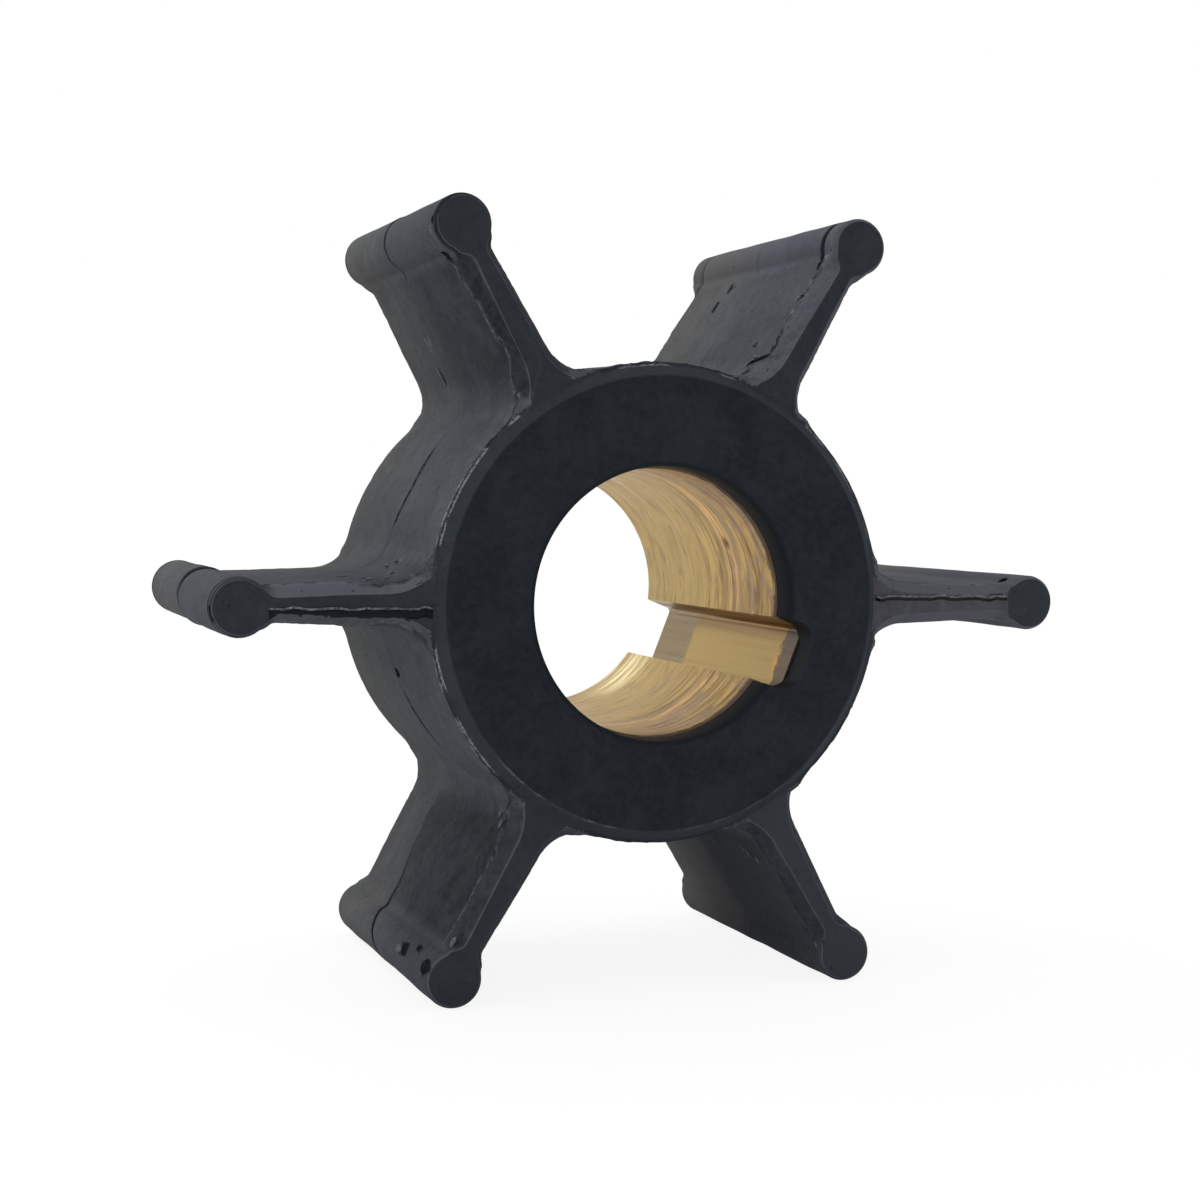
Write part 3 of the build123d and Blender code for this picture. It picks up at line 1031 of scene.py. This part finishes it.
for name in ("torn_edge_and_highlight", "rough_band", "tone"):
    impeller.data.attributes.new(name, "FLOAT", "POINT")
torn_edge_and_highlight = impeller.data.attributes["torn_edge_and_highlight"].data
rough_band = impeller.data.attributes["rough_band"].data
tone = impeller.data.attributes["tone"].data
for vertex in impeller.data.vertices:
    point = vertex.co
    radius = hypot(point.x, point.z)
    depth = VANE_END - abs(point.y)
    vane, along, across = on_vane(point)
    speckle = grain(point, 0.30 * MM, 13.0)
    torn_and_highlight_here = rough_here = tone_here = 0
    if radius > COLLAR_RADIUS - 0.12 * MM and depth > -0.02 * MM:
        tone_here = skin_tone(point)
        line = line_depth(point)
        bead, hub = bead_share(point), hub_share(point)
        torn = torn_share(point)
        # the pale flash line is partly torn skin and partly painted highlight
        near = max(0, 1 - abs(depth - line - 0.04 * MM) / TORN_WIDTH)
        torn_and_highlight_here = near * (0.15 + 0.85 * torn) * (1 - 0.8 * bead) * (0.4 + 0.6 * speckle)
        rough_here = outside_line(depth, line) * (1 - bead) * torn * (1 - hub)
        rough_here *= 1.0 if vane == 1 else 0.4
        if hub > 0.3 and point.y < 0:
            cone = COLLAR_RADIUS - max(0, abs(point.y) - HUB_END + RIM_DEEP) * RIM_IN / RIM_DEEP
            corner = abs(across) > 1.9 * MM and depth < 0.3 * MM and radius < cone + 0.035 * MM
            # painted highlight: the collar's corner is made pale only on the arcs that face the light
            lit = max(arc_share(point, 125, 222, 6), 0.6 * arc_share(point, 15, 105, 12))
            torn_and_highlight_here = 1.3 * corner * lit * smooth_step(0.30, 0.60, grain(point, 0.9 * MM, 29.0))
            near_edge = 1 - smooth_step(1.0 * MM, 2.6 * MM, depth)
            left, low_left = arc_share(point, 124, 176, 5), arc_share(point, 196, 222, 5)
            patch = near_edge * max(left, 0.6 * low_left)
            rough_here = 0.6 * patch
            torn_and_highlight_here = max(torn_and_highlight_here, 0.16 * patch * speckle)
        # painted shade in the troughs beside the seams
        start, end = LEFT_TROUGH if vane == 3 else RIGHT_TROUGH if vane == 0 else (1, 1)
        if start - 0.1 * MM < across < end + 0.1 * MM and 0.06 * MM < depth < 0.16 * MM:
            tone_here = MARK_SHADE
    # the raised seam edges on the left and right vanes are pale, partly as painted highlight
    elif radius > COLLAR_RADIUS and vane in (0, 3):
        torn_and_highlight_here = 0.2 + 0.6 * speckle
    elif RIM_EDGE + 0.04 * MM < radius < COLLAR_RADIUS + 0.05 * MM:
        tone_here = RIM_TONE
    elif abs(radius - RIM_EDGE) < 0.03 * MM and HUB_END - abs(point.y) < 0.1 * MM:
        tone_here = RIM_TONE
        # painted highlight: the rim's inner edge is made pale on the lit arcs
        lit = max(arc_share(point, 222, 262, 6), 0.5 * arc_share(point, 262, 330, 12))
        torn_and_highlight_here = 0.4 * lit * smooth_step(0.3, 0.7, grain(point, 0.8 * MM, 19.0))
    if depth > 0.02 * MM:
        spot = Vector((along, point.y, across)) / MM
        # painted shade in the pits
        if in_mark(pits, vane, spot):
            tone_here = MARK_SHADE
        # pale crumbs, partly as painted highlight
        if in_mark(crumbs, vane, spot):
            torn_and_highlight_here = 0.45
    torn_edge_and_highlight[vertex.index].value = torn_and_highlight_here
    rough_band[vertex.index].value = rough_here
    tone[vertex.index].value = tone_here

pick(impeller)
bpy.ops.object.shade_smooth_by_angle(angle=radians(42))

# The rubber's skin, as a node group: fine mottling over broad faint clouds, sparse pits darkened as
# painted shade, and paler where the mesh's tone says (partly painted light), where it is torn (with
# painted highlights on its edges), or dusted with bloom
skin = bpy.data.node_groups.new("rubber skin", "ShaderNodeTree")
for way, sockets in (
    ("INPUT", {
        "Dark": "Color", "Bloom": "Color", "Bloom Share": "Float", "Torn": "Float",
        "Coarseness": "Float", "Cloudiness": "Float",
    }),
    ("OUTPUT", {"Color": "Color", "Roughness": "Float", "Height": "Float"}),
):
    for name, kind in sockets.items():
        skin.interface.new_socket(name=name, in_out=way, socket_type="NodeSocket" + kind)
inward = add_node(skin, "NodeGroupInput", (0, 0))
outward = add_node(skin, "NodeGroupOutput", (9, 0))
place = (add_node(skin, "ShaderNodeTexCoord", (0, 3)), "Object")
clouds = add_noise(skin, (1, 4), place, 420.0, 4.0, 0.6, 0.6)
mottle = add_noise(skin, (1, 3), place, 2600.0, 5.0, 0.65, 0.2)
specks = add_node(skin, "ShaderNodeTexVoronoi", (1, 2), in_0=place, in_2=1300.0, in_8=1.0)
crumbly = add_noise(skin, (1, 1), place, 7500.0, 2.0, 0.6)
cloud_share = add_fade(skin, (2, 4), clouds, 0.36, 0.66, -0.16, 0.16)
mottle_share = add_fade(skin, (2, 3), mottle, 0.34, 0.68, -0.16, 0.18)
both = add_math(skin, (3, 3.5), "ADD", cloud_share, mottle_share)
share = add_math(
    skin, (4, 3), "MULTIPLY_ADD", both, (inward, "Cloudiness"), (inward, "Bloom Share"),
    use_clamp=True,
)
colour = lay_over(skin, (5, 3), (inward, "Dark"), (inward, "Bloom"), share)
# painted shade: sparse tiny pits are darkened
pit = add_fade(skin, (2, 2), specks, 0.05, 0.13, 1.0, 0.0)
pit_shade_share = add_math(skin, (4, 2), "MULTIPLY", pit, 0.55)
colour = lay_over(skin, (6, 3), colour, (0.012, 0.013, 0.015, 1), pit_shade_share)
# pale torn skin, partly painted highlight on lit edges
crumb_share = add_fade(skin, (2, 1), crumbly, 0.38, 0.58, 0.4, 1.4)
torn = add_math(skin, (4, 1), "MULTIPLY", crumb_share, (inward, "Torn"), use_clamp=True)
colour = lay_over(skin, (7, 3), colour, (0.23, 0.23, 0.24, 1), torn)
coarse_height = add_math(skin, (4, -1), "MULTIPLY", crumbly, (inward, "Coarseness"))
fine_height = add_math(skin, (5, -1), "MULTIPLY_ADD", mottle, 0.22, coarse_height)
pit_height = add_math(skin, (6, -1), "MULTIPLY_ADD", pit, -0.12, fine_height)
feed(skin, outward, "Color", colour)
feed(skin, outward, "Roughness", add_fade(skin, (5, 0), share, 0.0, 1.0, 0.56, 0.82))
feed(skin, outward, "Height", pit_height)


def add_rubber(name, dark, bloom, cloudiness, specular, relief):
    """A rubber material round the skin group, torn and with painted highlights where the mesh says.
    Returns it, its tree, the group's node, and how pale the mesh says the skin is, partly as painted
    light and shade."""
    material, tree, shader = new_material(name, 1600)
    shader.inputs["Specular IOR Level"].default_value = specular
    surface = add_node(tree, "ShaderNodeGroup", (6, 0), node_tree=skin)
    surface.inputs["Dark"].default_value = dark
    surface.inputs["Bloom"].default_value = bloom
    surface.inputs["Cloudiness"].default_value = cloudiness
    torn = add_node(tree, "ShaderNodeAttribute", (4, 2), attribute_name="torn_edge_and_highlight")
    pale = add_node(tree, "ShaderNodeAttribute", (2, -1), attribute_name="tone")
    bump = add_node(tree, "ShaderNodeBump", (7, -1), in_0=0.8, in_1=relief)
    feed(tree, surface, "Torn", (torn, "Fac"))
    feed(tree, bump, "Height", (surface, "Height"))
    feed(tree, shader, "Base Color", (surface, "Color"))
    feed(tree, shader, "Roughness", (surface, "Roughness"))
    feed(tree, shader, "Normal", bump)
    return material, tree, surface, (pale, "Fac")


# The walls of the mould left a grey, cloudy skin with a faint blue cast over the front. The skin is
# painted paler toward the rear as painted light, paler along torn edges partly as painted highlight,
# and paler or darker by the mesh's tone, partly as painted light and shade
GREY_BLOOM = (0.118, 0.119, 0.121, 1)
BLUE_BLOOM = (0.108, 0.111, 0.131, 1)
moulded, tree, surface, pale = add_rubber(
    "moulded rubber", (0.013, 0.0168, 0.0212, 1), GREY_BLOOM, 0.5, 0.015, 0.00010
)
place = (add_node(tree, "ShaderNodeTexCoord", (0, 0)), "Object")
along = (add_node(tree, "ShaderNodeSeparateXYZ", (1, 0), in_0=place), 1)
# painted light: the bloom share rises toward the rear, as if lit from behind
rearward = add_fade(tree, (2, 0), along, -8.0 * MM, 5.0 * MM, 0.50, 0.70)
feed(tree, surface, "Bloom Share", add_math(tree, (3, 0), "ADD", rearward, pale))
cast_share = add_fade(tree, (2, 1), along, -2.0 * MM, 4.0 * MM)
feed(tree, surface, "Bloom", lay_over(tree, (4, 1), BLUE_BLOOM, GREY_BLOOM, cast_share))
rough = add_node(tree, "ShaderNodeAttribute", (2, -2), attribute_name="rough_band")
coarseness = add_fade(tree, (3, -2), (rough, "Fac"), 0.0, 1.0, 0.05, 1.3)
feed(tree, surface, "Coarseness", coarseness)

# The flat ends were pressed against polished plates: smoother, and a bluish black
pressed, tree, surface, pale = add_rubber(
    "pressed rubber", (0.0105, 0.0145, 0.0205, 1), (0.047, 0.055, 0.066, 1), 0.5, 0.10, 0.00003
)
surface.inputs["Coarseness"].default_value = 0.1
place = (add_node(tree, "ShaderNodeTexCoord", (-2, 0)), "Object")
flat_place = add_node(
    tree, "ShaderNodeVectorMath", (-1, 0), operation="MULTIPLY", in_0=place, in_1=(1, 0, 1)
)
radius = add_measure(tree, (0, 0), "LENGTH", flat_place)
in_hole = add_fade(
    tree, (1, 0), radius, BORE_RADIUS + 0.1 * MM, BORE_RADIUS + 0.3 * MM, -0.8, 0.20
)
feed(tree, surface, "Bloom Share", add_math(tree, (3, 0), "ADD", in_hole, pale))

# The right vane's ends are painted a pale violet grey, as painted reflection of light from the right
reflection_rubber, tree, surface, pale = add_rubber(
    "rubbed rubber", (0.046, 0.045, 0.052, 1), (0.118, 0.114, 0.130, 1), 0.8, 0.06, 0.00006
)
surface.inputs["Coarseness"].default_value = 0.3
feed(tree, surface, "Bloom Share", pale)

impeller.data.materials.clear()
for material in (moulded, pressed, reflection_rubber):
    impeller.data.materials.append(material)
for face in impeller.data.polygons:
    centre = face.center
    radius = hypot(centre.x, centre.z)
    on_end = abs(centre.y) > VANE_END - 0.15 * MM and abs(face.normal.y) > 0.7
    vane_end = radius > HUB_RADIUS and on_end
    hub_end = radius < COLLAR_RADIUS + 0.02 * MM and abs(centre.y) > VANE_END - 0.25 * MM
    # painted reflection: the right vane's flat ends take the pale material
    right_reflection = on_vane(centre)[0] == 0 and vane_end and centre.x < DISC_START
    in_hole = radius < INSERT_RADIUS - FLUTE_DEPTH
    face.material_index = 2 if right_reflection else 1 if vane_end or hub_end or in_hole else 0

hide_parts("rubber_impeller")
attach(impeller, "root")


# --- Floor, light and camera --------------------------------------------------------
# A white table under the part, in a pale room that is brightest above, behind and to the left.
FLOOR_SIZE = 3.0
bpy.ops.object.select_all(action="DESELECT")
bpy.ops.mesh.primitive_plane_add(size=FLOOR_SIZE, location=(0, 0, cad_low.z))
floor = bpy.context.object
floor.name = "floor"
paper, tree, shader = new_material("white table", 0)
shader.inputs["Base Color"].default_value = (0.85, 0.85, 0.85, 1)
shader.inputs["Roughness"].default_value = 0.9
shader.inputs["Specular IOR Level"].default_value = 0.1
rays = add_node(tree, "ShaderNodeLightPath", (-4, 3))
seen = add_math(tree, (-3, 3), "MAXIMUM", (rays, "Is Camera Ray"), (rays, "Is Glossy Ray"))
seen_share = add_math(tree, (-2, 3), "MULTIPLY", seen, 0.85)
white = add_node(tree, "ShaderNodeEmission", (-2, 1), in_0=(1, 1, 1, 1), in_1=1.05)
table = add_node(tree, "ShaderNodeMixShader", (1, 3), in_0=seen_share, in_1=shader, in_2=white)
feed(tree, tree.nodes["Material Output"], "Surface", table)
floor.data.materials.append(paper)

# The room: a soft light from above, behind and the left, and white where the camera sees it
LIGHT_FROM = Vector((-0.40, 0.55, 0.75)).normalized()
world = bpy.data.worlds.new("pale room")
world.use_nodes = True
bpy.context.scene.world = world
tree = world.node_tree
background = tree.nodes["Background"]
background.inputs["Color"].default_value = (1, 1, 1, 1)
way = (add_node(tree, "ShaderNodeTexCoord", (-8, 0)), "Generated")
toward = add_measure(tree, (-7, 0), "DOT_PRODUCT", way, LIGHT_FROM)
glow = add_fade(tree, (-6, 0), toward, -0.5, 0.8, 0.30, 1.15)
rays = add_node(tree, "ShaderNodeLightPath", (-8, 3))
rearward = (add_node(tree, "ShaderNodeSeparateXYZ", (-7, 1), in_0=way), 1)
behind = add_fade(tree, (-6, 1), rearward, 0.0, 0.3)
mirrored = add_math(tree, (-5, 2), "MULTIPLY", (rays, "Is Glossy Ray"), behind)
direct = add_math(
    tree, (-5, 3), "MAXIMUM", (rays, "Is Camera Ray"), (rays, "Is Transmission Ray")
)
white_share = add_math(tree, (-4, 2), "MAXIMUM", mirrored, direct)
seen = add_node(
    tree, "ShaderNodeMix", (-3, 0), data_type="FLOAT", in_0=white_share, in_2=glow, in_3=1.0
)
feed(tree, background, "Strength", seen)

LAMP_FAR = 0.15
LAMP_SIZE = 0.05
LAMP_POWER = 0.03
bpy.ops.object.light_add(type="AREA", location=LIGHT_FROM * LAMP_FAR)
lamp = bpy.context.object
lamp.rotation_euler = LIGHT_FROM.to_track_quat("Z", "Y").to_euler()
lamp.data.shape = "DISK"
lamp.data.size = LAMP_SIZE
lamp.data.energy = LAMP_POWER

CAMERA_PLACE = Vector((-0.033837, -0.092066, 0.004667))
CAMERA_AIM = Vector((0.3456, 0.93704, -0.05023))
CAMERA_RIGHT = Vector((0.93838, -0.34523, 0.01625))
CAMERA_SENSOR = 36
CAMERA_LENS = 61.386
aim = CAMERA_AIM.normalized()
right = (CAMERA_RIGHT - CAMERA_RIGHT.dot(aim) * aim).normalized()
bpy.ops.object.camera_add()
camera = bpy.context.object
camera.matrix_world = Matrix.Translation(CAMERA_PLACE) @ Matrix(
    (right, right.cross(aim), -aim)
).transposed().to_4x4()
camera.data.sensor_width = CAMERA_SENSOR
camera.data.lens = CAMERA_LENS
camera.data.clip_start = 0.005
camera.data.clip_end = 10
bpy.context.scene.camera = camera
bpy.context.scene.view_settings.view_transform = "Standard"
